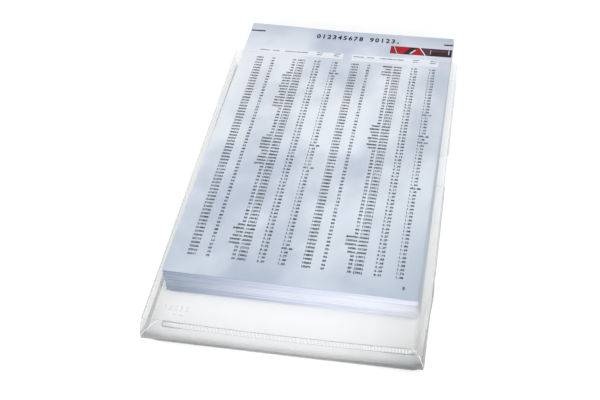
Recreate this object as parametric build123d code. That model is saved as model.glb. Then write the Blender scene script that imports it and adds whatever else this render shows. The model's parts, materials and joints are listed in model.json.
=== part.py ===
from build123d import *
import math
import os

# Expanding clear A4 document sleeve, lying flat, with a stack of paper in it.
# Millimetres. Origin: middle of the back film's rectangle, on its underside.
# +X to the open side, +Y to the open mouth, +Z up through the stack.

# Sleeve
FILM = 0.2                 # thickness of the clear film
BACK_WIDTH = 229.0         # back film, spine fold to open edge
BACK_LENGTH = 309.0        # back film, bottom edge to mouth
FRONT_WIDTH = 224.0        # front film, upper spine crease to open edge
FRONT_SETBACK = 3.5        # front film's mouth edge behind the back film's
BOTTOM_LEAN = 1.5          # front film's lower edge inside the back film's
DEPTH = 26.5               # underside of the back film to the top of the front film
CORNER_RADIUS = 4.0        # rounded free corners of both films
NOTCH_RADIUS = 18.0        # thumb notch in the back film's open edge
NOTCH_Y = 39.5             # its centre along the edge
SPINE_FOLD_HEIGHT = 8.0    # top of the spine wall's lower fold
SPINE_FOLD_INSET = 2.5     # how far the fold comes in on the way up
SPINE_BULGE = 0.8          # bow of the spine wall above it
BOTTOM_BULGE = 3.0         # how far the bottom wall stands out past its two edges
GUSSET_INSET = 7.0         # bottom wall's upper right end inside the open edge
GUSSET_REACH = 80.0        # right gusset along the open edge
LEFT_GUSSET_RISE = 4.3     # left gusset's leg along the spine crease
LEFT_GUSSET_RUN = 17.5     # and its leg along the weld line
LIP_WIDTH = 5.0            # bottom wall's lip on the front film
WELD_START = 18.0          # lip's left end, from the upper spine crease
WELD_MITRE = 0.85          # slant of the lip's right end, mm along for each mm across
WELD_WIDTH = 4.2           # hatched weld on the lip
WELD_HEIGHT = 0.2          # height of its ribs
WELD_RIB = 0.6             # width of one diagonal rib
WELD_PITCH = 2.5           # rib to rib
WELD_LEAN = 0.5            # a rib's slant, mm along for each mm across
FLAP_START = 24.5          # flap's fold line on the mouth edge, from the spine crease
FLAP_END = 4.5             # and on the open edge, above the right gusset

# Paper
SHEET_WIDTH = 210.0
SHEET_LENGTH = 297.0
SHEET = 0.1                # one sheet
PACKETS = 24               # packets of ten or eleven sheets below the printed one
SHEAF_SIZES = (8, 8, 8)    # packets in the lower, middle and upper sheaf
AIR = 0.1                  # air under the stack, and between two sheaves
TOP_GAP = 0.3              # air between the printed sheet and the front film
TOP_TWIST = -1.0           # printed sheet's turn in the sleeve, degrees
LOW_TWIST = -0.3           # lowest packet's
TOP_CORNER = (3.0, 50.0)   # printed sheet's near left corner, from the crease and back edge
LOW_SHIFT = (-0.4, -4.4)   # lowest packet's near left corner against the printed sheet's
WANDER_TOP = 0.4           # how far packets lie out of line across, at the top
WANDER_LOW = 2.0           # and how much more at the bottom
WANDER_Y = 0.5             # how far they lie out of line along

BACK_LEFT = -BACK_WIDTH / 2
RIGHT = BACK_WIDTH / 2
NEAR = -BACK_LENGTH / 2
FAR = BACK_LENGTH / 2
CREASE = RIGHT - FRONT_WIDTH
MOUTH = FAR - FRONT_SETBACK
FRONT_NEAR = NEAR + BOTTOM_LEAN
FRONT_LOW = DEPTH - FILM
MITRE = RIGHT - GUSSET_INSET
GUSSET_TOP = NEAR + GUSSET_REACH
PAPER_TOP = FRONT_LOW - TOP_GAP


def plate(points, low, thickness=FILM):
    """A flat plate from its outline, low being the height of its underside."""
    outline = Polyline(*points, close=True)
    return Pos(0, 0, low) * extrude(make_face(outline), thickness)


def rounded(solid, corner, radius=CORNER_RADIUS):
    """The solid with its upright edge at one corner rounded."""
    upright = solid.edges().filter_by(Axis.Z)
    edge = min(upright, key=lambda e: math.dist((e.center().X, e.center().Y), corner))
    return fillet(edge, radius)


def band(start, bow, end, thickness=FILM):
    """A 2-D strip of film, its outer face through three points and its inner face inside them."""
    outer = ThreePointArc(start, bow, end)
    centre = outer.arc_center
    radius = outer.radius
    inner = [centre + (Vector(*p) - centre) * ((radius - thickness) / radius) for p in (start, bow, end)]
    far_side = Line(end, inner[2])
    inner_arc = ThreePointArc(inner[2], inner[1], inner[0])
    near_side = Line(inner[0], start)
    return make_face([outer, far_side, inner_arc, near_side])


def back_film():
    body = Pos(0, 0, FILM / 2) * Box(BACK_WIDTH, BACK_LENGTH, FILM)
    body = rounded(body, (RIGHT, FAR))
    body = rounded(body, (RIGHT, NEAR))
    notch = Pos(RIGHT, NOTCH_Y, FILM / 2) * Cylinder(NOTCH_RADIUS, 4 * FILM)
    return body - notch


def fold_ends():
    """The flap's fold line, on the mouth edge and on the open edge."""
    return (CREASE + FLAP_START, MOUTH), (RIGHT, GUSSET_TOP + FLAP_END)


def front_film():
    """The front film's fixed part, out to the flap's fold line and the right gusset."""
    mouth_end, side_end = fold_ends()
    outline = [
        (CREASE, FRONT_NEAR + LEFT_GUSSET_RISE), (CREASE + LEFT_GUSSET_RUN, FRONT_NEAR),
        (MITRE, FRONT_NEAR), (RIGHT, GUSSET_TOP), side_end, mouth_end, (CREASE, MOUTH),
    ]
    return plate(outline, FRONT_LOW)


def front_flap():
    """The front film's free corner."""
    mouth_end, side_end = fold_ends()
    return rounded(plate([mouth_end, side_end, (RIGHT, MOUTH)], FRONT_LOW), (RIGHT, MOUTH))


def left_corner():
    """Where the left gusset meets the crease, the weld line and the back film."""
    crease_end = (CREASE, FRONT_NEAR + LEFT_GUSSET_RISE, FRONT_LOW)
    weld_end = (CREASE + LEFT_GUSSET_RUN, FRONT_NEAR, FRONT_LOW)
    foot = (BACK_LEFT, NEAR, FILM)
    return crease_end, weld_end, foot


def right_corner():
    """Where the right gusset meets the weld line, the back film and the open edge."""
    weld_end = (MITRE, FRONT_NEAR, FRONT_LOW)
    corner_inset = CORNER_RADIUS * (1 - math.sqrt(0.5))
    foot = (RIGHT - corner_inset, NEAR + corner_inset, FILM)
    edge_end = (RIGHT, GUSSET_TOP, FRONT_LOW)
    return weld_end, foot, edge_end


def end_plane(top, foot, along):
    """A cutting plane through a slanting end line and one direction."""
    line = Vector(*foot) - Vector(*top)
    return Plane(origin=top, x_dir=line, z_dir=line.cross(Vector(*along)))


def spine_strip(profile):
    """One stretch of the spine wall, from its profile in X and Z, cut to the left gusset."""
    wall = Pos(0, MOUTH, 0) * extrude(Plane.XZ * profile, BACK_LENGTH)
    crease_end, _, foot = left_corner()
    return split(wall, bisect_by=end_plane(crease_end, foot, (1, 0, 0)), keep=Keep.BOTTOM)


def spine_wall():
    top = (CREASE, FRONT_LOW)
    foot = (BACK_LEFT + SPINE_FOLD_INSET, SPINE_FOLD_HEIGHT)
    bow = ((top[0] + foot[0]) / 2 - SPINE_BULGE, (top[1] + foot[1]) / 2)
    return spine_strip(band(top, bow, foot))


def spine_fold():
    top = (BACK_LEFT + SPINE_FOLD_INSET, SPINE_FOLD_HEIGHT)
    foot = (BACK_LEFT, FILM)
    level_width = FILM * math.dist(top, foot) / (top[1] - foot[1])
    inner = [(foot[0] + level_width, foot[1]), (top[0] + level_width, top[1])]
    return spine_strip(make_face(Polyline(top, foot, *inner, close=True)))


def bottom_wall():
    """The rounded wall from the back film up to the weld line, cut to both gussets."""
    top = (FRONT_NEAR, FRONT_LOW)
    foot = (NEAR, FILM)
    bow = ((top[0] + foot[0]) / 2 - BOTTOM_BULGE, (top[1] + foot[1]) / 2)
    profile = Plane.YZ * band(top, bow, foot)
    wall = Pos(BACK_LEFT, 0, 0) * extrude(profile, BACK_WIDTH)
    _, left_top, left_foot = left_corner()
    right_top, right_foot, _ = right_corner()
    wall = split(wall, bisect_by=end_plane(left_top, left_foot, (0, 1, 0)), keep=Keep.TOP)
    return split(wall, bisect_by=end_plane(right_top, right_foot, (0, 1, 0)), keep=Keep.BOTTOM)


def facet(a, b, c):
    """A three-cornered plate of film, thickened on the side its corners run anticlockwise."""
    face = make_face(Polyline(a, b, c, close=True))
    normal = (Vector(*b) - Vector(*a)).cross(Vector(*c) - Vector(*a)).normalized()
    return extrude(face, FILM, dir=normal)


def left_gusset():
    crease_end, weld_end, foot = left_corner()
    return facet(foot, weld_end, crease_end)


def right_gusset():
    weld_end, foot, edge_end = right_corner()
    return facet(weld_end, foot, edge_end)


def weld_ends(y):
    """The lip's two ends at one height on the front film, the right one mitred."""
    return CREASE + WELD_START, MITRE - (y - FRONT_NEAR) * WELD_MITRE


def bottom_lip():
    """The bottom wall's film where it lies on the front film."""
    left, right = weld_ends(FRONT_NEAR)
    upper = FRONT_NEAR + LIP_WIDTH
    outline = [(left, FRONT_NEAR), (right, FRONT_NEAR), (weld_ends(upper)[1], upper), (left, upper)]
    return plate(outline, DEPTH)


def weld_ribs():
    """The diagonal ribs pressed into the lip, as a group of separate small solids."""
    low = FRONT_NEAR + (LIP_WIDTH - WELD_WIDTH) / 2
    high = low + WELD_WIDTH
    lean = WELD_WIDTH * WELD_LEAN
    first = weld_ends(high)[0] + 1.0
    last = weld_ends(high)[1] - 1.0 - WELD_RIB
    count = int((last - first) / WELD_PITCH)
    ribs = []
    for index in range(count):
        x = first + index * WELD_PITCH
        outline = [(x, high), (x + WELD_RIB, high), (x + WELD_RIB + lean, low), (x + lean, low)]
        ribs.append(plate(outline, DEPTH + FILM, WELD_HEIGHT))
    return Compound(children=ribs)


def sheets(corner, twist, low, thickness):
    """A flat packet of A4 sheets, turned about its near left corner."""
    block = Pos(SHEET_WIDTH / 2, SHEET_LENGTH / 2, thickness / 2) * Box(SHEET_WIDTH, SHEET_LENGTH, thickness)
    return Pos(corner[0], corner[1], low) * Rot(0, 0, twist) * block


def printed_sheet():
    corner = (CREASE + TOP_CORNER[0], NEAR + TOP_CORNER[1])
    return sheets(corner, TOP_TWIST, PAPER_TOP - SHEET, SHEET)


def packet(index, low, thickness):
    """One packet, more out of line towards the bottom of the stack."""
    depth = 1 - index / (PACKETS - 1)
    twist = TOP_TWIST + (LOW_TWIST - TOP_TWIST) * depth
    wander_x = (WANDER_TOP + WANDER_LOW * depth) * math.sin(2.3 * index + 0.4)
    wander_y = WANDER_Y * math.sin(1.9 * index + 1.1)
    x = CREASE + TOP_CORNER[0] + LOW_SHIFT[0] * depth + wander_x
    y = NEAR + TOP_CORNER[1] + LOW_SHIFT[1] * depth + wander_y
    return sheets((x, y), twist, low, thickness)


def paper_stack():
    """Every packet by name, numbered from the top, with a little air between the sheaves."""
    bottom = FILM + AIR
    top = PAPER_TOP - SHEET - AIR
    thickness = (top - bottom - AIR * (len(SHEAF_SIZES) - 1)) / PACKETS
    packets = {}
    low = bottom
    index = 0
    for size in SHEAF_SIZES:
        for _ in range(size):
            packets[f"sheet_packet_{PACKETS - index:02d}"] = packet(index, low, thickness)
            low += thickness
            index += 1
        low += AIR
    return packets


def main():
    os.makedirs("parts", exist_ok=True)
    nodes = {
        "back_film": back_film(),
        "front_film": front_film(),
        "front_flap": front_flap(),
        "spine_wall": spine_wall(),
        "spine_fold": spine_fold(),
        "bottom_wall": bottom_wall(),
        "bottom_lip": bottom_lip(),
        "weld_ribs": weld_ribs(),
        "left_gusset": left_gusset(),
        "right_gusset": right_gusset(),
        "printed_sheet": printed_sheet(),
    }
    nodes.update(paper_stack())
    for name, solid in nodes.items():
        export_step(solid, f"parts/{name}.step")


main()
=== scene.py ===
import json
import math

import bpy
import numpy as np
from mathutils import Matrix, Vector


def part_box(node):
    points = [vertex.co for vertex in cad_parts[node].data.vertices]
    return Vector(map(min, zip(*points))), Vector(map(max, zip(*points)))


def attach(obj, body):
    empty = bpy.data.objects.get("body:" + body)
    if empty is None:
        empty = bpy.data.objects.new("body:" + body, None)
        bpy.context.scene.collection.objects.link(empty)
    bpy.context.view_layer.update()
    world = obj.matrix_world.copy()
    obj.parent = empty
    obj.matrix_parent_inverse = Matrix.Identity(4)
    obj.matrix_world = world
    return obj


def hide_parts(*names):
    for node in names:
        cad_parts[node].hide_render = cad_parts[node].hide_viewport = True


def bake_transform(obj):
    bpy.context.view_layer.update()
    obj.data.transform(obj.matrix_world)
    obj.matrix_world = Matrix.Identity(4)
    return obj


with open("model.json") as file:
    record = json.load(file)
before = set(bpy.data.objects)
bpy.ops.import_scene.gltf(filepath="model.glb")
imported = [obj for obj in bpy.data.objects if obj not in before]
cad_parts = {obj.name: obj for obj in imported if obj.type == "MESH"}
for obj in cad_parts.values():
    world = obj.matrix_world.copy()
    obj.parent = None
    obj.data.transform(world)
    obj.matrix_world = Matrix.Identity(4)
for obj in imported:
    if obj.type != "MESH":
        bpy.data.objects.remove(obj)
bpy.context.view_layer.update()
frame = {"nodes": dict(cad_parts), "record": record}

# Clear expanding document sleeve with a stack of A4 sheets, in the CAD frame: +X to the open side,
# +Y to the mouth, +Z up. The sleeve is worked out in millimetres and turned to metres in new_piece;
# camera, light and floor are in metres.

MM = 0.001
RNG = np.random.RandomState(11)


def cad_box(node):
    """Lowest and highest corner of a CAD node, in millimetres."""
    low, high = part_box(node)
    return np.array(low) / MM, np.array(high) / MM


BACK_LOW, BACK_HIGH = cad_box("back_film")
FRONT_LOW, FRONT_HIGH = cad_box("front_film")
_, FLAP_HIGH = cad_box("front_flap")
_, FOLD_HIGH = cad_box("spine_fold")
LIP_LOW, LIP_HIGH = cad_box("bottom_lip")
GUSSET_LOW, GUSSET_HIGH = cad_box("right_gusset")
_, SHEET_HIGH = cad_box("printed_sheet")

FILM = BACK_HIGH[2] - BACK_LOW[2]  # thickness of the film
BACK_MIDDLE = FILM / 2  # height of the back film's middle surface
TOP = FRONT_HIGH[2] - FILM / 2  # height of the front film's middle surface
LEFT = FRONT_LOW[0]  # upper spine crease
RIGHT = BACK_HIGH[0]  # open edge of both films
MOUTH = FLAP_HIGH[1]  # front film's mouth edge
NEAR = FRONT_LOW[1]  # weld line
GUSSET_END = GUSSET_HIGH[1]  # far end of the right gusset, on the open edge
CORNER_RADIUS = 4.0  # of the films' free corners

# ---- helpers


def smooth(t):
    """Eases from 0 to 1 while t does."""
    t = np.clip(t, 0.0, 1.0)
    return t * t * (3 - 2 * t)


def spaced(start, end, step):
    """Values from start to end, about step apart."""
    return np.linspace(start, end, max(2, int(round(abs(end - start) / step)) + 1))


def between(a, b, share):
    """The value at this share of the way from a to b."""
    return a + (b - a) * share


def unit(vectors):
    """The vectors, each brought to length 1."""
    return vectors / np.maximum(np.linalg.norm(vectors, axis=-1, keepdims=True), 1e-9)


def new_piece(name, points, faces, materials, body, slot, nodes=(), smooth_faces=None, indices=None):
    """A mesh piece from points in millimetres, riding on a body if one is given. smooth_faces is the
    number of faces, from the first on, that are shaded smooth; without it all are."""
    mesh = bpy.data.meshes.new(name)
    mesh.from_pydata((np.asarray(points, float) * MM).tolist(), [], [list(f) for f in faces])
    for material in materials:
        mesh.materials.append(material)
    if indices is not None:
        mesh.polygons.foreach_set("material_index", np.asarray(indices, np.int32))
    shaded = len(mesh.polygons) if smooth_faces is None else smooth_faces
    mesh.polygons.foreach_set("use_smooth", [index < shaded for index in range(len(mesh.polygons))])
    mesh.validate()
    mesh.update()
    piece = bpy.data.objects.new(name, mesh)
    bpy.context.scene.collection.objects.link(piece)
    if body:
        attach(piece, body)
    if nodes:
        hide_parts(*nodes)
    return piece


def slab(grid, thickness, rims=None, rim_rows=0):
    """A closed slab round a grid of middle points. rims gives the number of the material on an edge (n,
    f, l or r) and on the cells along it; the right edge has it from the row rim_rows on."""
    rims = rims or {}

    def rim(edge, row):
        return 0 if edge == "r" and row < rim_rows else rims.get(edge, 0)

    rows, columns = grid.shape[:2]
    normal = unit(np.cross(np.gradient(grid, axis=1), np.gradient(grid, axis=0)))
    upper = (grid + normal * thickness / 2).reshape(-1, 3)
    lower = (grid - normal * thickness / 2).reshape(-1, 3)
    points = np.vstack([upper, lower])
    count = rows * columns
    faces = []
    indices = []
    for i in range(rows - 1):
        for j in range(columns - 1):
            a = i * columns + j
            b, c, d = a + 1, a + columns + 1, a + columns
            on = {"n": i == 0, "f": i == rows - 2, "l": j == 0, "r": j == columns - 2}
            beside = [key for key in on if on[key]]
            faces.append((a, b, c, d))
            faces.append((d + count, c + count, b + count, a + count))
            indices += [max([rim(key, i) for key in beside], default=0)] * 2
    number = np.arange(count).reshape(rows, columns)
    edges = {"n": number[0], "f": number[-1], "l": number[:, 0], "r": number[:, -1]}
    for key, edge in edges.items():
        for row, (a, b) in enumerate(zip(edge.tolist(), edge[1:].tolist())):
            quad = (a, a + count, b + count, b)
            faces.append(quad[::-1] if key in "fl" else quad)
            indices.append(rim(key, row))
    return points, faces, indices


def film_piece(name, rows, materials, nodes, rims=None, rim_rows=0, flat=False, body="sleeve"):
    """A film slab round rows of middle points, its two broad sides shaded smooth if it isn't flat."""
    points, faces, indices = slab(np.array(rows), FILM, rims, rim_rows)
    shaded = 0 if flat else 2 * (len(rows) - 1) * (len(rows[0]) - 1)
    return new_piece(name, points, faces, materials, body, "clear_film", nodes, shaded, indices)


# ---- materials


class Nodes:
    """A short way to write a node material."""

    def __init__(self, name):
        self.material = bpy.data.materials.new(name)
        self.material.use_nodes = True
        self.tree = self.material.node_tree
        self.tree.nodes.clear()
        self.output = self.add("ShaderNodeOutputMaterial")
        self.shader = self.add("ShaderNodeBsdfPrincipled")
        self.coordinates = self.add("ShaderNodeTexCoord").outputs["Object"]

    def feed(self, target, value):
        """Links a socket to an input, or sets a number, a vector or a colour there."""
        if isinstance(value, bpy.types.NodeSocket):
            self.tree.links.new(value, target)
        else:
            target.default_value = (*value, 1) if target.type == "RGBA" else value

    def inputs(self, node, **values):
        """Feeds a node's inputs by name, with underscores for spaces."""
        for key, value in values.items():
            self.feed(node.inputs[key.replace("_", " ")], value)

    def add(self, kind, **values):
        """A new node with these inputs."""
        node = self.tree.nodes.new(kind)
        self.inputs(node, **values)
        return node

    def surface(self, colour, **values):
        """Feeds the Principled's colour and its other inputs."""
        self.inputs(self.shader, Base_Color=colour, **values)

    def noise(self, scale, detail=2.0, roughness=0.5, stretch=None):
        vector = self.coordinates
        if stretch:
            vector = self.add("ShaderNodeMapping", Scale=stretch, Vector=vector).outputs["Vector"]
        noise = self.add(
            "ShaderNodeTexNoise", Scale=scale, Detail=detail, Roughness=roughness, Vector=vector)
        return noise.outputs["Fac"]

    def ramp(self, value, stops):
        """Maps a value through (position, colour or number) stops."""
        ramp = self.add("ShaderNodeValToRGB", Fac=value)
        elements = ramp.color_ramp.elements
        for _ in range(len(stops) - 2):
            elements.new(0.5)
        for element, (position, colour) in zip(elements, stops):
            element.position = position
            element.color = (*colour, 1) if isinstance(colour, tuple) else (colour, colour, colour, 1)
        return ramp.outputs["Color"]

    def place(self, axis, start, end):
        """The place along an axis, 0 at start and 1 at end, both in millimetres."""
        place = self.add("ShaderNodeSeparateXYZ", Vector=self.coordinates).outputs[axis]
        span = self.add("ShaderNodeMapRange", From_Min=start * MM, From_Max=end * MM, Value=place)
        return span.outputs["Result"]

    def along(self, axis, stops):
        """A factor along an axis, from (position in mm, factor) stops."""
        low, high = stops[0][0], stops[-1][0]
        most = max(factor for _, factor in stops)
        shares = [((x - low) / (high - low), factor / most) for x, factor in stops]
        return self.times(self.ramp(self.place(axis, low, high), shares), most)

    def mix(self, factor, a, b, mode="MIX"):
        mix = self.add("ShaderNodeMix")
        mix.data_type = "RGBA"
        mix.blend_type = mode
        for name, value in (("Factor", factor), ("A", a), ("B", b)):
            self.feed([s for s in mix.inputs if s.name == name and s.enabled][0], value)
        return [s for s in mix.outputs if s.enabled][0]

    def tinted(self, tone, colour):
        return self.mix(1.0, tone, colour, "MULTIPLY")

    def maths(self, operation, a, b):
        node = self.add("ShaderNodeMath")
        node.operation = operation
        self.feed(node.inputs[0], a)
        self.feed(node.inputs[1], b)
        return node.outputs["Value"]

    def times(self, a, b):
        return self.maths("MULTIPLY", a, b)

    def bump(self, height, distance):
        bump = self.add("ShaderNodeBump", Distance=distance, Height=height)
        self.inputs(self.shader, Normal=bump.outputs["Normal"])

    def finish(self, opacity=None):
        """The material, its Principled mixed with Transparent where an opacity is given."""
        surface = self.shader.outputs["BSDF"]
        if opacity is not None:
            mix = self.add("ShaderNodeMixShader", Fac=opacity)
            self.feed(mix.inputs[1], self.add("ShaderNodeBsdfTransparent").outputs["BSDF"])
            self.feed(mix.inputs[2], surface)
            surface = mix.outputs["Shader"]
        self.inputs(self.output, Surface=surface)
        return self.material


FILM_IOR = 1.49
FILM_ROUGHNESS = (0.24, 0.44)  # in the grain's hollows and on its tops
GRAIN_SCALE = 1500
GRAIN_DEPTH = 0.00006
WALL_HEIGHT = 26.0  # full height of the walls' tone and density stops


def film_material(name, colour, opacity, along_x=None, along_y=None, added=()):
    """Clear soft film with a fine embossed grain that mottles it slightly. along_x and along_y scale its
    density, as (position in mm, factor) stops. Each of added makes it denser and darker in one region, as
    painted shade: opacity, tone factor, stops along X and stops along Y."""
    nodes = Nodes(name)
    fine = nodes.noise(GRAIN_SCALE, 3)
    mottle = nodes.ramp(nodes.times(fine, nodes.noise(260, 2)), [(0.15, 0.82), (0.4, 1.0)])
    rough = nodes.ramp(fine, [(0.3, FILM_ROUGHNESS[0]), (0.7, FILM_ROUGHNESS[1])])
    nodes.surface(colour, Roughness=rough, IOR=FILM_IOR)
    nodes.bump(fine, GRAIN_DEPTH)
    density = nodes.times(mottle, opacity)
    for axis, stops in (("X", along_x), ("Y", along_y)):
        if stops:
            density = nodes.times(density, nodes.along(axis, stops))
    tone = colour
    for more, shade, x_stops, y_stops in added:
        place = nodes.times(nodes.along("X", x_stops), nodes.along("Y", y_stops))
        density = nodes.maths("ADD", density, nodes.times(place, more))
        tone = nodes.mix(place, tone, tuple(c * shade for c in colour))
    if added:
        nodes.surface(tone)
    return nodes.finish(density)


def wall_material(name, stops, along_x=None, added=None, shade=None):
    """Film that gets denser towards the fold at its foot and darker there with painted shade, as (share of
    the height, tone, opacity) stops. Along X, along_x scales its density, added raises it and shade scales
    its tone with painted shade."""
    nodes = Nodes(name)
    fine = nodes.noise(1300, 3)
    uneven = nodes.times(nodes.maths("SUBTRACT", nodes.noise(35, 2), 0.5), 0.03)
    place = nodes.maths("ADD", nodes.place("Z", 0, WALL_HEIGHT), uneven)
    tone = nodes.ramp(place, [(share, (grey * 0.94, grey, grey * 1.01)) for share, grey, _ in stops])
    if shade:
        tone = nodes.tinted(tone, nodes.along("X", shade))
    nodes.surface(tone, Roughness=0.3, IOR=FILM_IOR)
    nodes.bump(fine, GRAIN_DEPTH)
    mottle = nodes.ramp(fine, [(0.25, 0.94), (0.75, 1.0)])
    density = nodes.times(nodes.ramp(place, [(share, opacity) for share, _, opacity in stops]), mottle)
    if along_x:
        density = nodes.times(density, nodes.along("X", along_x))
    if added:
        density = nodes.maths("ADD", density, nodes.along("X", added))
    return nodes.finish(nodes.maths("MINIMUM", density, 0.95))


def paper_material(name, across, streaks, down=None):
    """Cut stack of office paper with streaks along the layers, from two tones to white. across darkens it
    with painted shade from left to right and down with painted shade from the foot to the top, as (share,
    colour) stops."""
    nodes = Nodes(name)
    layers = nodes.noise(1.0, 3, 0.6, (9, 9, 1500))
    thick = nodes.noise(1.0, 1, 0.5, (4, 4, 420))
    streak = nodes.maths("ADD", nodes.times(layers, 0.5), nodes.times(thick, 0.5))
    tone = nodes.ramp(streak, [(0.36, streaks[0]), (0.5, streaks[1]), (0.64, 1.0)])
    tone = nodes.tinted(tone, nodes.ramp(nodes.place("X", -110, 110), across))
    if down:
        tone = nodes.tinted(tone, nodes.ramp(nodes.place("Z", 0, WALL_HEIGHT), down))
    nodes.surface(tone, Roughness=0.75)
    nodes.bump(nodes.noise(1800, 4), 0.00004)
    return nodes.finish()


CLOUDS = [(0.37, (0.46, 0.51, 0.59)), (0.5, (0.56, 0.60, 0.67)), (0.62, (0.65, 0.69, 0.745))]
# Painted shade on the top sheet: darker towards its near and far ends, as (share from near to far, factor)
# stops.
NEAR_TO_FAR = [
    (0.0, (0.72, 0.76, 0.80)), (0.05, (0.76, 0.80, 0.84)), (0.35, (0.90, 0.92, 0.94)), (0.7, 1.0),
    (0.85, (0.97, 0.97, 0.98)), (0.96, (0.80, 0.82, 0.86)), (1.0, (0.74, 0.76, 0.80)),
]
# Corners and margins of the sheet with a tone laid over it: painted shade in its right corners and right
# margin, and an even light tone at its left. Given are the stretches that each fades in over, how far it
# fades in, and the tone.
SHEET_PATCHES = [
    ([("X", 20, 105), ("Y", 168, 188)], 1.0, (0.34, 0.39, 0.46)),
    ([("X", 45, 105), ("Y", 0, -100)], 1.0, (0.34, 0.40, 0.48)),
    ([("X", -72, -98), ("Y", 20, 100), ("Y", 172, 145)], 1.0, (0.66, 0.695, 0.75)),
    ([("X", 50, 105), ("Y", -30, 30)], 0.28, (0.34, 0.39, 0.46)),
]


def printed_material():
    """Top sheet: white paper with soft cloudy tone and a fine tooth, and painted shade towards its ends and
    its right side.
    """
    nodes = Nodes("paper_printed_sheet")
    tone = nodes.ramp(nodes.noise(17, 3), CLOUDS)
    tone = nodes.tinted(tone, nodes.ramp(nodes.place("Y", -110, 190), NEAR_TO_FAR))
    for spans, factor, colour in SHEET_PATCHES:
        for axis, start, end in spans:
            factor = nodes.times(nodes.place(axis, start, end), factor)
        tone = nodes.mix(factor, tone, colour)
    fibre = nodes.ramp(nodes.noise(2600, 4, 0.7), [(0.3, 0.93), (0.7, 1.0)])
    nodes.surface(nodes.tinted(tone, fibre), Roughness=0.62)
    nodes.bump(nodes.noise(2200, 4), 0.00003)
    return nodes.finish()


def ink_material(name, colour, spread=0.25):
    """Toner on paper, a little uneven."""
    nodes = Nodes(name)
    dark = tuple(c * (1 - spread) for c in colour)
    light = tuple(min(1.0, c * (1 + spread)) for c in colour)
    tone = nodes.ramp(nodes.noise(900, 3), [(0.3, dark), (0.7, light)])
    nodes.surface(tone, Roughness=0.6, Specular_IOR_Level=0.12)
    return nodes.finish()


CLEAR = film_material(
    "film_clear", (0.55, 0.56, 0.55), 0.022,
    along_x=[(-115, 2.4), (-104, 1.8), (-90, 1.6), (-20, 3.1), (60, 3.3), (92, 2.8), (104, 1.2), (115, 0.9)])
# Painted shade on the front film: along its open edge, denser towards the near end, and darker at the near
# right corner where it rolls down.
OPEN_STRIP = (
    0.30, 0.85, [(103.5, 0.0), (106.5, 0.9), (115, 1.0)],
    [(-150, 1.0), (-95, 0.9), (-40, 0.65), (15, 0.33), (75, 0.1), (150, 0.0)])
NEAR_CORNER = (
    0.12, 0.66, [(72, 0.0), (94, 0.18), (106, 0.8), (115, 1.0)],
    [(-150, 1.0), (-128, 0.7), (-112, 0.2), (-104, 0.0)])
FRONT = film_material(
    "film_front", (0.55, 0.56, 0.55), 0.024,
    along_x=[(-115, 1.9), (-104, 1.25), (-90, 1.1), (-60, 1.0), (60, 1.0), (90, 1.3), (100, 0.9), (115, 0.7)],
    added=[OPEN_STRIP, NEAR_CORNER])
RIM = film_material(
    "film_cut_edge", (0.30, 0.32, 0.33), 0.42,
    along_y=[(-150, 1.3), (-40, 1.1), (20, 1.0), (80, 0.6), (150, 0.4)])
MOUTH_RIM = film_material("film_mouth_edge", (0.55, 0.58, 0.62), 0.30)
LINE = film_material("film_lip_edge", (0.30, 0.34, 0.35), 0.24)
ACROSS_WALL = [(-116, 1.12), (-75, 1.1), (-30, 0.80), (40, 0.82), (75, 1.0), (100, 1.05), (114, 1.1)]
# Painted shade: the bottom wall's tone darkens towards its foot and towards its right end.
WALL = wall_material("film_bottom_wall", [
    (0.0, 0.16, 0.56), (0.42, 0.17, 0.50), (0.56, 0.20, 0.37), (0.65, 0.25, 0.28), (0.74, 0.33, 0.19),
    (0.82, 0.40, 0.13), (0.90, 0.46, 0.10), (1.0, 0.5, 0.09),
], ACROSS_WALL, added=[(50, 0.0), (80, 0.05), (100, 0.14), (114, 0.20)],
    shade=[(40, 1.0), (84, 0.82), (102, 0.60), (114, 0.52)])
# Painted shade: the right gusset's tone darkens towards its foot.
GUSSET = wall_material("film_gusset", [
    (0.0, 0.15, 0.64), (0.3, 0.17, 0.56), (0.6, 0.19, 0.50), (0.85, 0.24, 0.40), (1.0, 0.32, 0.24),
])
SIDE = film_material(
    "film_spine_wall", (0.42, 0.43, 0.42), 0.09,
    along_y=[(-155, 2.4), (-110, 2.1), (-60, 1.4), (0, 0.9), (150, 0.95)])
CREASE_LINE = film_material(
    "film_crease", (0.33, 0.35, 0.35), 0.26, along_y=[(-155, 1.7), (-100, 1.3), (-40, 0.9), (150, 0.7)])
# The spine's fold is real; its dark grey tone is painted shade in the curved fold at the spine's foot.
FOLD = film_material(
    "film_spine_fold", (0.26, 0.29, 0.30), 0.37,
    along_y=[(-155, 1.3), (-100, 1.1), (-60, 1.0), (150, 0.8)])
MITRE_LINE = film_material("film_mitre_crease", (0.92, 0.93, 0.93), 0.75)
WELD_LINE = film_material(
    "film_weld_line", (0.22, 0.27, 0.28), 0.5,
    along_x=[(-93, 2.2), (-84, 1.5), (-55, 0.6), (40, 0.55), (80, 0.9), (92, 1.5), (108, 1.8)])
DULL_RIBS = (0.0, 0.83, [(-93, 1.0), (30, 1.0), (85, 0.0)], [(-160, 1.0), (-100, 1.0)])
WELD_RIB = film_material(
    "film_weld_rib", (0.97, 0.98, 0.99), 0.42,
    along_x=[(-93, 0.55), (-50, 0.5), (-10, 0.3), (50, 0.4), (85, 1.2), (108, 2.0)], added=[DULL_RIBS])
EMBOSS = film_material("film_emboss", (0.56, 0.58, 0.58), 0.30)
# Painted shade on the stack's other sides: darker towards the left and right ends.
PAPER = paper_material(
    "paper_cut_stack", [(0.0, (0.50, 0.54, 0.58)), (0.4, (0.64, 0.68, 0.73)), (1.0, (0.55, 0.59, 0.63))],
    [(0.72, 0.76, 0.85), (0.89, 0.93, 0.99)])
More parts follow.
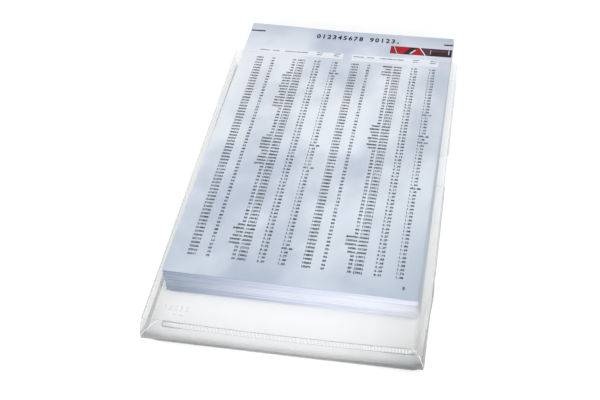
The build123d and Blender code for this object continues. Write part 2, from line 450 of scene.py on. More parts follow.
# Painted shade on the stack's near face, darker towards the left, and a painted shadow along its top under
# the top sheets.
PAPER_NEAR = paper_material("paper_near_edge", [
    (0.06, (0.39, 0.45, 0.53)), (0.14, (0.48, 0.53, 0.61)), (0.32, (0.65, 0.68, 0.75)),
    (0.48, (0.77, 0.79, 0.84)), (0.64, (0.83, 0.845, 0.89)), (0.8, (0.86, 0.87, 0.90)),
], [(0.66, 0.70, 0.80), (0.92, 0.93, 0.97)], down=[
    (0.0, (0.98, 0.98, 1.0)), (0.1, 1.0), (0.4, 0.95), (0.88, 0.93), (0.93, (0.82, 0.84, 0.87)),
    (1.0, (0.58, 0.62, 0.68)),
])
PRINTED = printed_material()
INK = ink_material("toner_dark", (0.010, 0.022, 0.026))
INK_BLACK = ink_material("toner_black", (0.012, 0.014, 0.018))
INK_RED = ink_material("toner_red", (0.34, 0.010, 0.016))
INK_MAROON = ink_material("toner_maroon", (0.032, 0.016, 0.020))
INK_PLUM = ink_material("toner_plum", (0.075, 0.030, 0.045))
INK_PALE = ink_material("toner_pale", (0.62, 0.62, 0.64), 0.05)
INK_WHITE = ink_material("paper_unprinted_box", (0.63, 0.65, 0.70), 0.02)

# ---- front film and its folds

RIM_WIDTH = 0.45  # polished band along a cut edge
FILM_STEP = 3.0  # size of a cell
NEAR_ROLL_START = -150.5  # where the front film starts to roll down to the bottom wall
NEAR_ROLL_OUT = 6.25  # how far the bottom wall stands out past that
WALL_WAIST = 11.0  # height of its furthest point
BOW = 1.7  # how far the weld bows towards the near side in the middle
BOW_START = -108.0  # where the front film starts to follow it
CREASE = LEFT + 0.6  # upper spine crease, a little inside its nominal line as it is not sharp
SPINE_FOOT = BACK_LOW[0] + 0.9
LIP_FAR = LIP_HIGH[1] + 0.4  # lip's far edge on the front film
LIP_WIDTH = 5.1
LIP_LEFT = LIP_LOW[0]
LIP_RIGHT = LIP_HIGH[0]
MITRE_SLANT = 0.85  # slant of the lip's right end, mm along for each mm across
WELD_EDGE = NEAR_ROLL_START - LIP_FAR + LIP_WIDTH  # arc from the roll's start to the lip's near edge
GUSSET_NEAR = -152.5  # near end of the right gusset's film
GUSSET_LEFT = GUSSET_LOW[0]  # right end of the front film's weld line
FOOT = np.array([113.33, -153.33, FILM])  # where the right gusset's free edge reaches the back film
SIDE_ROLL = 12.0  # rounded shoulder of the right gusset, down from the crease
SHOULDER = 0.45  # how far the corner that it rounds stands out, as a share of that


def film_height(x, y):
    """Height of the front film's middle surface."""
    ripple = 0.12 * np.sin(x / 31 + 0.7) * np.sin(y / 43 + 1.9) * smooth((y - BOW_START) / 60)
    return TOP + 0.5 * np.abs(ripple)


def bow(x):
    """How far the weld stands out to the near side of its two ends."""
    return BOW * (1 - np.clip((2 * x - LEFT - RIGHT) / (RIGHT - LEFT), -1, 1) ** 2)


def near_roll(x, distance):
    """The shell's place (y, z) at this arc length past the start of the near roll."""
    turn = distance / NEAR_ROLL_OUT
    start = NEAR_ROLL_START - bow(x)
    top = film_height(x, start)
    y = start - (NEAR_ROLL_OUT - bow(x)) * np.sin(turn)
    return y, WALL_WAIST + (top - WALL_WAIST) * np.cos(turn)


def crease_x(y):
    """The front film's right edge, narrowing along the right gusset."""
    share = np.clip((y - NEAR) / (GUSSET_END - NEAR), 0, 1)
    return between(GUSSET_LEFT, RIGHT, share)


def gusset_section(y):
    """The right gusset's section at y: crease, the corner that its shoulder rounds, the shoulder's end,
    free edge, and share of the gusset's length."""
    share = np.clip((GUSSET_END - y) / (GUSSET_END - NEAR), 0, 1)
    corner = np.array([crease_x(y), y, TOP])
    edge_end = np.array([RIGHT, GUSSET_END, TOP])
    free = between(edge_end, FOOT, share)
    free[1] = y
    roll = SIDE_ROLL * smooth(share / 0.35)
    fall = free - corner
    outer = corner + fall * min(1.0, roll / max(np.linalg.norm(fall), 1e-6))
    shoulder = corner + np.array([roll * SHOULDER, 0, 0])
    return corner, shoulder, outer, free, share


def bezier(a, b, c, t):
    """A point on the curve from a to c, with b the corner that it rounds."""
    return (1 - t) ** 2 * a + 2 * (1 - t) * t * b + t * t * c


def corner_cut(depth):
    """How far a film's rounded corner stands in, at this depth into it."""
    return CORNER_RADIUS - math.sqrt(max(0.0, CORNER_RADIUS ** 2 - max(0.0, depth) ** 2))


def with_rims(shares, rim):
    """Shares of a width from 0 to 1, with a narrow first and last one for the rims."""
    return np.concatenate([[0, rim], shares[1:-1], [1 - rim, 1]])


def front_film():
    """The front film, its right edge free from the gusset to the rounded corner at the mouth."""
    near_edge = -148.3
    corner_start = MOUTH - CORNER_RADIUS
    along = np.concatenate([
        [near_edge], spaced(near_edge + RIM_WIDTH, GUSSET_END, FILM_STEP),
        spaced(GUSSET_END, corner_start, FILM_STEP)[1:],
        corner_start + CORNER_RADIUS * np.sin(np.radians([15, 30, 45, 58, 70, 80])),
        [MOUTH],
    ])
    width = RIGHT - LEFT
    across = with_rims(spaced(0.0, 1.0, FILM_STEP / width), RIM_WIDTH / width)
    rows = []
    for y in along:
        right = crease_x(y) - corner_cut(y - corner_start)
        follow = smooth((BOW_START - y) / (BOW_START - NEAR))
        columns = between(CREASE, right, across)
        rows.append([(x, y - bow(x) * follow, film_height(x, y)) for x in columns])
    free_rows = int(np.searchsorted(along, GUSSET_END))
    nodes = ("front_film", "front_flap")
    rims = {"r": 1, "f": 2}
    materials = [FRONT, RIM, MOUTH_RIM]
    piece = film_piece("front_film_sheet", rows, materials, nodes, rims, free_rows, flat=True, body=None)
    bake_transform(piece)


def back_film():
    """The back film, with the thumb notch in its free edge and its near edge drawn in to the foot line."""
    notch_y = 39.5
    notch_radius = 18.0
    corner = CORNER_RADIUS * np.sin(np.radians([0, 20, 40, 60, 75]))
    notch = notch_radius * np.cos(np.radians(np.arange(6, 175, 8)))
    low, high = BACK_LOW[1], BACK_HIGH[1]
    near_corner, far_corner = low + CORNER_RADIUS, high - CORNER_RADIUS
    along = np.concatenate([
        [low], near_corner - corner[::-1],
        spaced(near_corner, notch_y - notch_radius, FILM_STEP)[1:],
        np.sort(notch_y + notch),
        spaced(notch_y + notch_radius, far_corner, FILM_STEP),
        far_corner + corner[1:], [high],
    ])
    across = with_rims(spaced(0.0, 1.0, 0.02), RIM_WIDTH / (RIGHT - BACK_LOW[0]))
    rows = []
    for y in along:
        right = RIGHT - corner_cut(max(near_corner - y, y - far_corner))
        inside = notch_radius ** 2 - (y - notch_y) ** 2
        if inside > 0:
            right = RIGHT - math.sqrt(inside)
        row = []
        for part in across:
            from_left = part * (right - BACK_LOW[0])
            x = BACK_LOW[0] + from_left
            drawn_in = (foot_line(x) - low) * smooth(from_left / 12) * (1 - smooth((y - low) / 25))
            row.append((x, y + drawn_in, BACK_MIDDLE))
        rows.append(row)
    free_rows = int(np.searchsorted(along, GUSSET_END))
    rims = {"r": 1, "f": 1}
    film_piece("back_film_sheet", rows, [CLEAR, RIM], ("back_film",), rims, free_rows, flat=True)


# ---- walls

SPINE_FOLD_TOP = FOLD_HIGH[2]
SPINE_FOLD_INSET = 0.9  # how far the fold's upper edge stands in from the spine's foot
SPINE_BULGE = 0.5
CORNER_TOP = -148.2  # near end of the upper spine crease
CORNER_FLARE = 9.0  # length over which the spine flares out to the near corner
CORNER_OUT = 2.5  # how far the near left corner swells past the spine's foot
CORNER_BOW = np.array([-1.2, -0.5, 0.0])  # how far the near left edge bows out between its ends


def left_mitre(part):
    """The curved crease from the lip's left end (0) to the sleeve's near left corner (1)."""
    knots = np.array([
        [LIP_LEFT, LIP_FAR, TOP], [-96.0, -148.7, TOP], [-99.6, -151.1, 25.0], [-103.4, -153.2, 21.2],
        [-108.3, -154.5, 15.8], [-113.0, -154.9, 8.0], [SPINE_FOOT - CORNER_OUT, -154.2, 0.7],
    ])
    return spline(knots, part)


def spline(knots, part):
    """A smooth curve through the knots, at a share from 0 to 1 of their number."""
    place = np.clip(part, 0, 1) * (len(knots) - 1)
    index = min(int(place), len(knots) - 2)
    t = place - index
    p1, p2 = knots[index], knots[index + 1]
    p0 = knots[index - 1] if index else 2 * p1 - p2
    p3 = knots[index + 2] if index + 2 < len(knots) else 2 * p2 - p1
    bend = 2 * p0 - 5 * p1 + 4 * p2 - p3
    twist = 3 * p1 - p0 - 3 * p2 + p3
    return 0.5 * (2 * p1 + (p2 - p0) * t + bend * t ** 2 + twist * t ** 3)


def right_mitre(part):
    """The crease from the lip's right end (0) to the sleeve's near right corner (1)."""
    knots = np.array([
        [LIP_RIGHT - LIP_WIDTH * MITRE_SLANT, LIP_FAR, TOP + 0.3], [106.2, -149.8, 26.4],
        [109.0, -152.2, 24.4], [111.0, -154.0, 20.5], [112.6, -154.7, 12.5],
        [113.0, -154.3, 5.5], [112.6, -153.3, FILM],
    ])
    return spline(knots, part)


def foot_line(x):
    """Where the bottom wall meets the back film."""
    return BACK_LOW[1] + 1.65 + 1.3 * smooth((x - 20) / 80) - 0.9 * (1 - smooth((x + 112) / 18))


def wall_profile(x, part):
    """The bottom wall in section, part 0 at the lip's near edge and 1 at the back film."""
    turn_start = WELD_EDGE / NEAR_ROLL_OUT
    waist_part = 0.62
    if part <= waist_part:
        turn = turn_start + (math.pi / 2 - turn_start) * part / waist_part
        return near_roll(x, turn * NEAR_ROLL_OUT)
    turn = (part - waist_part) / (1 - waist_part) * math.pi / 2
    waist_y = NEAR_ROLL_START - NEAR_ROLL_OUT
    y = waist_y + (foot_line(x) - waist_y) * (1 - math.cos(turn)) ** 1.2
    return y, WALL_WAIST + (FILM - WALL_WAIST) * math.sin(turn)


def bottom_wall():
    """The rounded bottom wall, drawn to the mitre creases at its ends."""
    lip_share = 0.18  # of the right mitre that lies on the lip
    left_ease, right_ease = 14, 9
    rows = []
    for part in np.linspace(1, 0, 23):
        left = left_mitre(part)
        right = right_mitre(lip_share + (1 - lip_share) * part)
        row = []
        for c in spaced(0.0, 1.0, 0.016):
            x = between(left[0], right[0], c)
            y, z = wall_profile(x, part)
            from_left = smooth((x - left[0]) / left_ease)
            from_right = smooth((right[0] - x) / right_ease)
            _, y_end, z_end = left if from_left < from_right else right
            hold = min(from_left, from_right)
            row.append((x, between(y_end, y, hold), between(z_end, z, hold)))
        rows.append(row)
    film_piece("bottom_wall_film", rows, [WALL], ("bottom_wall",))


def right_gusset():
    """The right gusset: a rounded shoulder under the crease, then down to the back film, with a slack
    near end."""
    slack_x, slack_y = 0.9, -1.1
    rows = []
    for y in spaced(GUSSET_NEAR, GUSSET_END - 2.5, FILM_STEP):
        corner, shoulder, outer, free, share = gusset_section(y)
        row = np.array(
            [bezier(corner, shoulder, outer, t) for t in np.linspace(0, 1, 10)]
            + [between(outer, free, t) for t in np.linspace(0, 1, 14)[1:]])
        place = np.linspace(0, 1, len(row))
        slack = smooth((share - 0.6) / 0.4) * 4 * place * (1 - place)
        row[:, 0] += slack_x * slack
        row[:, 1] += slack_y * slack
        rows.append(row)
    film_piece("right_gusset_film", rows, [GUSSET], ("right_gusset",))


def near_left_edge(part):
    """The edge that the spine and the left gusset share, from the upper crease (0) to the foot (1)."""
    top = np.array([CREASE, CORNER_TOP, TOP])
    return between(top, left_mitre(1.0), part) + CORNER_BOW * 4 * part * (1 - part)


def left_gusset():
    """The left gusset, between the spine's near edge and the curved mitre crease."""
    rows = [
        [between(near_left_edge(part), left_mitre(part), t) for t in np.linspace(0, 1, 12)]
        for part in np.linspace(0.97, 0.0, 16)
    ]
    film_piece("left_gusset_film", rows, [SIDE], ("left_gusset",))


def spine(start, end, bulge, name, material, nodes):
    """One stretch of the spine wall, start above end, each (x, z), from the near corner to the mouth."""
    foot_height = left_mitre(1.0)[2]
    rows = []
    for along in np.concatenate([np.linspace(0, 0.12, 14), spaced(0.12, 1.0, FILM_STEP / 300)[1:]]):
        row = []
        for part in np.linspace(1, 0, 9):
            x = between(start[0], end[0], part) - bulge * 4 * part * (1 - part)
            z = between(start[1], end[1], part)
            corner = near_left_edge((TOP - z) / (TOP - foot_height))
            y = between(corner[1], MOUTH, along)
            x = between(corner[0], x, smooth((y - corner[1]) / CORNER_FLARE))
            row.append((x, y, z))
        rows.append(row)
    film_piece(name, rows, [material], nodes)


# ---- lip and weld


def lip_surface(x, distance, lift):
    """A point over the lip, distance mm from its far edge, lifted off the front film."""
    y = LIP_FAR - distance
    if y >= NEAR_ROLL_START:
        return np.array([x, y - bow(x), film_height(x, y) + lift])
    turn = NEAR_ROLL_START - y
    y, z = near_roll(x, turn)
    tilt = turn / NEAR_ROLL_OUT
    return np.array([x, y - lift * math.sin(tilt), z + lift * math.cos(tilt)])


def lip_end(distance):
    """The lip's slanting right end."""
    return LIP_RIGHT - (LIP_WIDTH - distance) * MITRE_SLANT


def bottom_lip():
    """The bottom wall's lip, on the front film and down the start of the roll."""
    rows = []
    for distance in spaced(LIP_WIDTH, 0.0, 0.7):
        columns = np.linspace(LIP_LEFT, lip_end(distance), 66)
        rows.append([lip_surface(x, distance, FILM) for x in columns])
    film_piece("bottom_lip_film", rows, [CLEAR, LINE], ("bottom_lip",), {"f": 1})


ON_LIP = FILM * 1.5  # height of the lip's upper side over the front film's middle surface
ON_FILM = FILM / 2
# Across and up, as shares of a ridge's width and height.
BEAD_SECTION = [(-0.5, 0.0), (-0.32, 0.75), (0.0, 1.0), (0.32, 0.75), (0.5, 0.0)]


def bead(path, width, height, base=ON_LIP):
    """A low rounded ridge along a path of (x, distance from the lip's far edge) places, its width one
    number or one for each place."""
    path = np.array(path, float)
    steps = unit(np.diff(path, axis=0))
    along = unit(np.vstack([steps[:1], steps]) + np.vstack([steps, steps[-1:]]))
    side = np.stack([-along[:, 1], along[:, 0]], axis=1)
    points = []
    for place, normal, wide in zip(path, side, np.broadcast_to(width, len(path))):
        for across, rise in BEAD_SECTION:
            x, distance = place + normal * across * wide
            points.append(lip_surface(x, distance, base + rise * height))
    return points, tube_faces(len(path), len(BEAD_SECTION))


def tube_faces(rings, sides):
    """Faces of a closed tube of rings, each of so many points, with a cap at both ends."""
    faces = []
    for ring in range(rings - 1):
        a = ring * sides
        for j in range(sides):
            k = (j + 1) % sides
            faces.append((a + j, a + k, a + sides + k, a + sides + j))
    faces.append(tuple(range(sides))[::-1])
    faces.append(tuple(range((rings - 1) * sides, rings * sides)))
    return faces


def joined(parts):
    """Several (points, faces) parts as one."""
    points = []
    faces = []
    for part_points, part_faces in parts:
        offset = len(points)
        points += list(part_points)
        faces += [tuple(i + offset for i in face) for face in part_faces]
    return points, faces


def ridge_piece(name, ridges, material, slot="clear_film", nodes=()):
    """A piece of one or more ridges on the sleeve."""
    new_piece(name, *joined(ridges), [material], "sleeve", slot, nodes)


WELD_INSET = 0.45  # weld border inside the lip's edges
WELD_LEFT = LIP_LEFT + 0.6
WELD_RADIUS = 1.5  # of its rounded left end
WELD_LINE_WIDTH = 0.75
WELD_HEIGHT = 0.22
RIB_WIDTH = (0.85, 0.70)  # at the left end and at the right
RIB_PITCH = (2.9, 2.5)
RIB_LEAN = 2.0  # how far a rib slants over the weld's width at the left


def weld_border():
    """The pressed line round the weld, rounded at the left, thin in the middle and open at the right."""
    far, near = WELD_INSET, LIP_WIDTH - WELD_INSET
    start = WELD_LEFT + WELD_RADIUS
    end_gap = 0.7
    turns = np.radians([0, 22.5, 45, 67.5, 90])
    path = [(x, far) for x in np.linspace(lip_end(far) - end_gap, start, 90)[:-1]]
    path += [(start - WELD_RADIUS * math.sin(t), far + WELD_RADIUS * (1 - math.cos(t))) for t in turns]
    path += [(start - WELD_RADIUS * math.cos(t), near - WELD_RADIUS * (1 - math.sin(t))) for t in turns]
    path += [(x, near) for x in np.linspace(start, lip_end(near) - end_gap, 90)[1:]]
    widths = []
    for x, distance in path:
        rightness = smooth((x - 70) / 25)
        middle = smooth((x - WELD_LEFT - 8) / 12) * (1 - rightness)
        thinning = 0.6 * middle if distance > LIP_WIDTH / 2 else 0.4 * middle + 0.55 * rightness
        widths.append(WELD_LINE_WIDTH * (1 - thinning))
    ridge_piece("weld_border", [bead(path, widths, WELD_HEIGHT)], WELD_LINE, "weld_film")


def weld_ribs():
    """The slanting ribs inside the border, closer and more upright towards the right."""
    far, near = WELD_INSET + 0.5, LIP_WIDTH - WELD_INSET - 0.5
    x = LIP_LEFT + 1.8
    ribs = []
    while x < lip_end(far) - 1.2:
        rightness = smooth((x - 20) / 60)
        lean = RIB_LEAN * (1 - rightness)
        path = [(x + lean * t, between(far, near, t)) for t in np.linspace(0, 1, 6)]
        ribs.append(bead(path, between(*RIB_WIDTH, rightness), WELD_HEIGHT))
        x += between(*RIB_PITCH, rightness)
    ridge_piece("weld_hatching", ribs, WELD_RIB, "weld_film", ("weld_ribs",))


def mitre_crease(name, mitre, first, last, radius=0.22):
    """A thin round ridge along a mitre crease, tapering at both ends."""
    path = np.array([mitre(part) for part in np.linspace(first, last, 28)])
    along = unit(np.gradient(path, axis=0))
    side = unit(np.cross(along, [0.0, 0.0, 1.0]))
    up = np.cross(side, along)
    turns = np.radians(np.arange(0, 360, 60))
    points = []
    for index, place in enumerate(path):
        share = index / (len(path) - 1)
        size = radius * (0.35 + 0.65 * smooth(min(share, 1 - share) * 5))
        points += [place + size * (side[index] * math.cos(t) + up[index] * math.sin(t)) for t in turns]
    ridge_piece(name, [(points, tube_faces(len(path), len(turns)))], MITRE_LINE)


def emboss():
    """A row of plain upright strokes over a short bar, embossed at the front film's near left."""
    centre_x, centre_y, half_height, pitch = -84.0, -136.0, 2.2, 4.4
    ridges = []
    for place in range(-2, 3):
        x = centre_x + place * pitch
        path = [(x, LIP_FAR - centre_y + t) for t in np.linspace(-half_height, half_height, 6)]
        ridges.append(bead(path, 1.7, 0.25, ON_FILM))
    bar_path = [(centre_x + t, LIP_FAR - centre_y + 5.4) for t in np.linspace(-1.0, 7.0, 8)]
    ridges.append(bead(bar_path, 1.2, 0.22, ON_FILM))
    ridge_piece("front_film_emboss", ridges, EMBOSS)


def spine_crease():
    """The low ridge along the fold between front film and spine wall."""
    path = [(CREASE - 0.1, LIP_FAR - y) for y in spaced(CORNER_TOP, MOUTH, FILM_STEP)]
    ridge_piece("spine_crease", [bead(path, 1.0, 0.16, 0.02)], CREASE_LINE)


# ---- paper


def sheet_frame(node):
    """Near left corner, unit vectors across and along, bottom and top of a CAD block of sheets."""
    points = np.array([v.co for v in frame["nodes"][node].data.vertices]) / MM
    plan = points[:, :2]
    far_left = plan[np.argmin(plan @ np.array([1.0, -0.3]))]
    near_left = plan[np.argmin(plan @ np.array([1.0, 1.0]))]
    along = unit(far_left - near_left)
    across = np.array([along[1], -along[0]])
    return near_left, across, along, points[:, 2].min(), points[:, 2].max()


SHEETS_IN_PACKET = 10
SHEET_SIZE = (210.0, 297.0)
SHEET_THICKNESS = 0.1
SHEET_FILL = 0.94  # a loose sheet's thickness as a share of its place in the packet
NEAR_STRIP = 1.6  # strip along the near edge that shows where sheets stand back
TOP_PACKET_DEPTH = 0.1  # share of the stack's height whose sheets stand back under the top sheet
FAR_STEP = 3.0  # how far the sheets' far edges stand back from the middle to the right
FAR_STRIP = 288.0  # where that starts along a sheet
STACK_LEAN = np.array([0.8, -1.4])  # how far the lowest sheets stand out to the right and the near side


def far_end(u, v):
    """The place along a sheet, with the far edges standing back towards the right."""
    return v - FAR_STEP * smooth(u / 110) * smooth((v - FAR_STRIP) / (SHEET_SIZE[1] - FAR_STRIP))


def packet(node, body):
    """One packet of loose sheets, each a little out of line with the next."""
    corner, across, along, low, high = sheet_frame(node)
    depth = (SHEET_HIGH[2] - high) / (SHEET_HIGH[2] - FILM)
    pitch = (high - low) / SHEETS_IN_PACKET
    columns = np.linspace(0, SHEET_SIZE[0], 8)
    rows = np.concatenate([[0, NEAR_STRIP], np.linspace(0, SHEET_SIZE[1], 10)[1:]])
    drift = RNG.uniform(-0.5, 0.5, 2) * np.array([0.8, 0.5])
    blocks = []
    indices = []
    phase = RNG.uniform(0, 6.28)
    for index in range(SHEETS_IN_PACKET):
        shift = drift + RNG.normal(0, 0.1, 2)
        if RNG.rand() < 0.1:
            shift[1] -= RNG.uniform(0.2, 0.6)
        shift += STACK_LEAN * depth
        if depth < TOP_PACKET_DEPTH:
            shift[1] = abs(shift[1]) + 0.5
        z = low + pitch * (index + 0.5)
        grid = np.zeros((len(rows), len(columns), 3))
        for i, v in enumerate(rows):
            for j, u in enumerate(columns):
                wave = 0.2 * math.sin(u / 23 + phase) if i < 2 else 0.0
                back = 0.6 if i == len(rows) - 1 else 0.0
                place = corner + across * (u + shift[0]) + along * (far_end(u, v) + shift[1] + wave - back)
                grid[i, j] = (*place, z)
        points, faces, marks = slab(grid, pitch * SHEET_FILL, {"n": 1})
        blocks.append((points, faces))
        indices += marks
    new_piece(node + "_sheets", *joined(blocks), [PAPER, PAPER_NEAR], body, "paper", (node,), 0, indices)


SHEET_CORNER, SHEET_ACROSS, SHEET_ALONG, _, SHEET_TOP = sheet_frame("printed_sheet")
CURL = 0.2  # how far the printed sheet's far corners lift
CURL_LENGTH = 35.0  # over what length before the far edge
INK_LIFT = 0.02


def sheet_point(u, v, lift=0.0):
    """A point over the printed sheet, u across from its left edge and v from its near edge."""
    plan = SHEET_CORNER + SHEET_ACROSS * u + SHEET_ALONG * far_end(u, v)
    free = smooth(1 + (v - SHEET_SIZE[1]) / CURL_LENGTH)
    curl = CURL * free * (2 * abs(u / SHEET_SIZE[0] - 0.5)) ** 2
    return np.array([plan[0], plan[1], SHEET_TOP + curl + lift])


def printed_sheet():
    """The top sheet's paper."""
    curl_start = 255
    rows = np.concatenate([np.linspace(0, curl_start, 40), np.linspace(curl_start, SHEET_SIZE[1], 16)[1:]])
    columns = np.linspace(0, SHEET_SIZE[0], 31)
    grid = np.array([[sheet_point(u, v, -SHEET_THICKNESS / 2) for u in columns] for v in rows])
    points, faces, _ = slab(grid, SHEET_THICKNESS)
    name = "printed_sheet_paper"
    new_piece(name, points, faces, [PRINTED], "top_sheet", "printed_paper", ("printed_sheet",), 0)


# ---- print on the top sheet
# Places are millimetres on the sheet: u across from its left edge and v from its near edge.

GLYPHS = {}  # the figures made so far


def print_piece(name, parts, material):
    """A piece of print from (points, faces) parts."""
    new_piece(name, *joined(parts), [material], "top_sheet", "printed_paper", smooth_faces=0)


def glyph(character, weight):
    """Points and faces of one figure, its height scaled to 1, standing at the origin."""
    if (character, weight) in GLYPHS:
        return GLYPHS[character, weight]
    curve = bpy.data.curves.new("figure", "FONT")
    curve.body = character
    curve.resolution_u = 2
    curve.offset = weight
    text = bpy.data.objects.new("figure", curve)
    bpy.context.scene.collection.objects.link(text)
    bpy.context.view_layer.update()
    mesh = bpy.data.meshes.new_from_object(text.evaluated_get(bpy.context.evaluated_depsgraph_get()))
    points = np.array([v.co[:2] for v in mesh.vertices])
    faces = [tuple(p.vertices) for p in mesh.polygons]
    bpy.data.objects.remove(text)
    bpy.data.curves.remove(curve)
    bpy.data.meshes.remove(mesh)
    points[:, 0] -= (points[:, 0].min() + points[:, 0].max()) / 2
    GLYPHS[character, weight] = (points, faces)
    return points, faces


FIGURE_HEIGHT = 0.73  # height of a figure in the default font at size 1


def write(text, u, v, height, pitch, align="left", weight=0.0, stretch=1.0):
    """Figures on the printed sheet, their baseline at v and their first or last cell at u."""
    start = u if align == "left" else u - len(text) * pitch
    parts = []
    for index, character in enumerate(text):
        if character == " ":
            continue
        points, faces = glyph(character, weight)
        scale = height / FIGURE_HEIGHT
        centre = start + (index + 0.5) * pitch
        placed = [sheet_point(centre + x * scale * stretch, v + y * scale, INK_LIFT) for x, y in points]
        parts.append((placed, faces))
    return parts


def patch(corners, lift=INK_LIFT, step=4.0):
    """A printed area from its four corners, as (u, v), in cells that follow the sheet."""
    a, b, c, d = np.array(corners, float)
    columns = max(1, int(np.linalg.norm(b - a) / step))
    rows = max(1, int(np.linalg.norm(d - a) / step))
    points = []
    for i in range(rows + 1):
        for j in range(columns + 1):
            s, t = j / columns, i / rows
            u, v = between(between(a, b, s), between(d, c, s), t)
            points.append(sheet_point(u, v, lift))
    width = columns + 1
    faces = [
        (i * width + j, i * width + j + 1, (i + 1) * width + j + 1, (i + 1) * width + j)
        for i in range(rows) for j in range(columns)
    ]
    return points, faces


def bar(u0, v0, u1, v1, lift=INK_LIFT):
    """An upright printed rectangle."""
    return patch([(u0, v0), (u1, v0), (u1, v1), (u0, v1)], lift)


def digits(count):
    """Random figures."""
    return "".join(str(d) for d in RNG.randint(0, 10, count))


def decimal(whole, places):
    """A random number with a point."""
    return digits(whole) + "." + digits(places)


ROWS = 64
ROW_FIRST = 249.0  # top of the first row
ROW_PITCH = 3.657
COLUMNS = (15.6, 32.0, 66.4, 75.6, 93.0)
SECOND_BLOCK = 97.0  # how far the second block stands to the right of the first
FIGURE = 1.85
FIGURE_PITCH = 1.58
FIGURE_WEIGHT = 0.05
FIGURE_STRETCH = 1.3


def figures(text, u, v, align="left"):
    """Figures of a row in the list."""
    return write(text, u, v, FIGURE, FIGURE_PITCH, align, FIGURE_WEIGHT, FIGURE_STRETCH)


def number_block(offset, long_rows):
    """One block of five columns of figures, the third one longer in the stretches of long_rows."""
    parts = []
    code = RNG.randint(10000, 20000)
    u = [column + offset for column in COLUMNS]
    for row in range(ROWS):
        v = ROW_FIRST - row * ROW_PITCH - FIGURE / 2
        long = any(first <= row <= last for first, last in long_rows)
        code += RNG.randint(1, 90)
        parts += figures(str(code), u[0], v)
        parts += figures(digits(2), u[1], v)
        amount = decimal(RNG.randint(4, 7), 5) if long else digits(2) + " (" + digits(3) + ")"
        parts += figures(amount, u[2], v, "right")
        parts += figures(decimal(1, 2), u[3], v)
        parts += figures(decimal(3, 2) if RNG.rand() < 0.12 else "1." + digits(2), u[4], v)
    return parts


def print_figures():
    """The list's two blocks and the page figure."""
    parts = number_block(0.0, [(5, 17), (27, 36), (54, 59)])
    parts += number_block(SECOND_BLOCK, [(0, 3), (21, 28), (54, 58)])
    parts += write("8", 197.0, 8.2, 2.9, 1.8, weight=0.03)
    print_piece("print_figures", parts, INK)


def print_heading():
    """Title, registration marks, and column heads of plain bars in two pale boxes."""
    title_v = 282.2
    parts = write("012345678 90123", 70.0, title_v, 5.9, 5.5, weight=0.035)
    parts.append(bar(153.8, title_v, 155.6, title_v + 1.8))
    parts.append(bar(1.0, 286.0, 15.6, 287.7))
    parts.append(bar(201.0, 284.0, 209.9, 285.8))
    print_piece("print_heading", parts, INK_BLACK)
    box_top, box_lift = 262.4, 0.012
    boxes = [bar(16.0, 254.8, 103.0, box_top, box_lift), bar(112.0, 253.6, 198.4, box_top, box_lift)]
    print_piece("print_header_boxes", boxes, INK_WHITE)
    heads = []
    for offset, top in ((0.0, 260.6), (SECOND_BLOCK, 260.2)):
        for start, end in ((16.6, 27), (30, 37), (43, 66.4)):
            heads += word_bars(start + offset, end + offset, top - 1.3, 1.6)
        for start, end in ((76, 82), (93.4, 100)):
            heads += word_bars(start + offset, end + offset, top, 1.5)
            heads += word_bars(start + offset, end + offset - 1, top - 2.7, 1.5)
    print_piece("print_header_marks", heads, INK)


def word_bars(start, end, v, height):
    """A greeked word: short upright strokes of uneven height."""
    parts = []
    u = start
    while u < end:
        width = RNG.uniform(0.5, 0.9)
        tall = height * RNG.uniform(0.55, 1.0)
        parts.append(bar(u, v, min(u + width, end), v + tall))
        u += width + RNG.uniform(0.35, 0.5)
    return parts


def print_banner():
    """A banner of plain red, plum and maroon fields and pale lines."""
    left, right, low, high = 148.6, 209.9, 268.0, 278.4
    field_lift, line_lift = 0.03, 0.04

    def slanted(ends, bottom, top, lift):
        """A four-sided area, its lower corners at one height and its upper ones at another."""
        return patch(list(zip(ends, (bottom, bottom, top, top))), lift)

    def field(*ends):
        return slanted(ends, low + 0.4, high - 0.4, field_lift)

    def line(*ends, inset_low=0.0, inset_high=0.0):
        return slanted(ends, low + inset_low, high - inset_high, line_lift)

    print_piece("print_banner_field", [bar(left, low, right, high)], INK_MAROON)
    print_piece("print_banner_red", [
        field(left + 0.5, 154.4, 150.6, left + 0.5),
        field(156.4, 161.4, 168.4, 152.4),
        field(169.4, 182.4, 176.4, 175.4),
    ], INK_RED)
    print_piece("print_banner_plum", [
        field(184.6, 188.4, 187.4, 179.4),
        patch([(189.0, low + 5.5), (209.0, low + 6.4), (209.0, high - 2.0), (189.0, high - 0.8)], field_lift),
    ], INK_PLUM)
    print_piece("print_banner_lines", [
        line(183.6, 184.9, 178.2, 177.0),
        line(168.0, 169.9, 174.4, 173.0, inset_low=1.6, inset_high=3.2),
        line(155.6, 156.2, 151.9, 151.3),
        bar(188.6, low + 2.4, 189.0, high - 2.0, line_lift),
        bar(206.6, low + 3.5, 207.3, high - 0.8, line_lift),
    ], INK_PALE)


# ---- scene


def camera():
    """The photograph's camera: its place, its direction in degrees, and its lens for a 36 mm sensor."""
    data = bpy.data.cameras.new("camera")
    data.sensor_width = 36.0
    data.lens = 42.64
    data.shift_x = -0.11667
    data.clip_start = 0.01
    place = Vector((0.13081, -0.35635, 0.52591))
    elevation, azimuth, roll = np.radians([55.18, 12.94, 5.606])
    level = math.cos(elevation)
    forward = Vector((-math.sin(azimuth) * level, math.cos(azimuth) * level, -math.sin(elevation)))
    right = forward.cross(Vector((0, 0, 1))).normalized()
    up = right.cross(forward)
    turned_right = right * math.cos(roll) - up * math.sin(roll)
    turned_up = up * math.cos(roll) + right * math.sin(roll)
    matrix = Matrix((turned_right, turned_up, -forward)).transposed().to_4x4()
    matrix.translation = place
    piece = bpy.data.objects.new("camera", data)
    piece.matrix_world = matrix
    bpy.context.scene.collection.objects.link(piece)
    bpy.context.scene.camera = piece


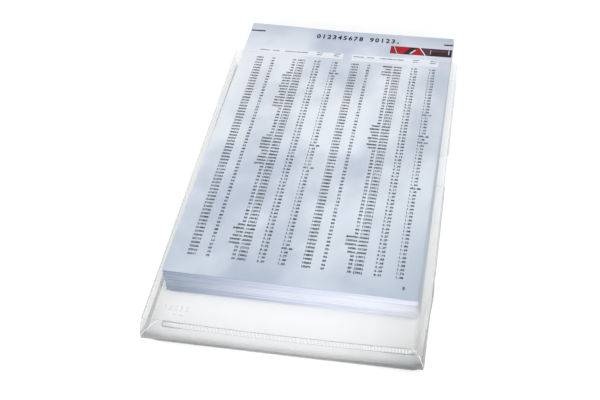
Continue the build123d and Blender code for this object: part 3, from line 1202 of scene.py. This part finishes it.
def floor():
    """The pale studio floor, a hair under the sleeve."""
    half, height = 6.0, -0.0003
    nodes = Nodes("studio_floor")
    nodes.surface(nodes.ramp(nodes.noise(3), [(0.3, 0.95), (0.7, 0.97)]), Roughness=0.9)
    mesh = bpy.data.meshes.new("floor")
    corners = [(x * half, y * half, height) for x, y in ((-1, -1), (1, -1), (1, 1), (-1, 1))]
    mesh.from_pydata(corners, [], [(0, 1, 2, 3)])
    mesh.materials.append(nodes.finish())
    piece = bpy.data.objects.new("floor", mesh)
    bpy.context.scene.collection.objects.link(piece)


def studio():
    """Even white surroundings and one soft light from the near side."""
    world = bpy.data.worlds.new("studio")
    world.use_nodes = True
    background = world.node_tree.nodes["Background"]
    background.inputs["Color"].default_value = (1, 1, 1, 1)
    background.inputs["Strength"].default_value = 1.08
    scene = bpy.context.scene
    scene.world = world
    scene.view_settings.view_transform = "Standard"
    scene.cycles.transparent_max_bounces = 32  # enough for the many films that a ray passes
    light = bpy.data.lights.new("key", "AREA")
    light.shape = "RECTANGLE"
    light.size, light.size_y = 1.0, 0.7
    light.energy = 20
    key = bpy.data.objects.new("key", light)
    key.location = (0.35, -1.5, 0.7)
    key.rotation_euler = (Vector((0, 0, 0.01)) - key.location).to_track_quat("-Z", "Y").to_euler()
    scene.collection.objects.link(key)


camera()
studio()
floor()
front_film()
back_film()
bottom_wall()
right_gusset()
left_gusset()
spine_turn = (SPINE_FOOT + SPINE_FOLD_INSET, SPINE_FOLD_TOP)
spine((CREASE, TOP), spine_turn, SPINE_BULGE, "spine_wall_film", SIDE, ("spine_wall",))
spine(spine_turn, (SPINE_FOOT, FILM), 0.0, "spine_fold_film", FOLD, ("spine_fold",))
bottom_lip()
weld_border()
weld_ribs()
emboss()
spine_crease()
mitre_crease("right_mitre_crease", right_mitre, 0.0, 0.95)
mitre_crease("left_mitre_crease", left_mitre, 0.08, 0.9)
for body, nodes in frame["record"]["behaviour"]["bodies"].items():
    for node in nodes:
        if node.startswith("sheet_packet_"):
            packet(node, body)
printed_sheet()
print_figures()
print_heading()
print_banner()
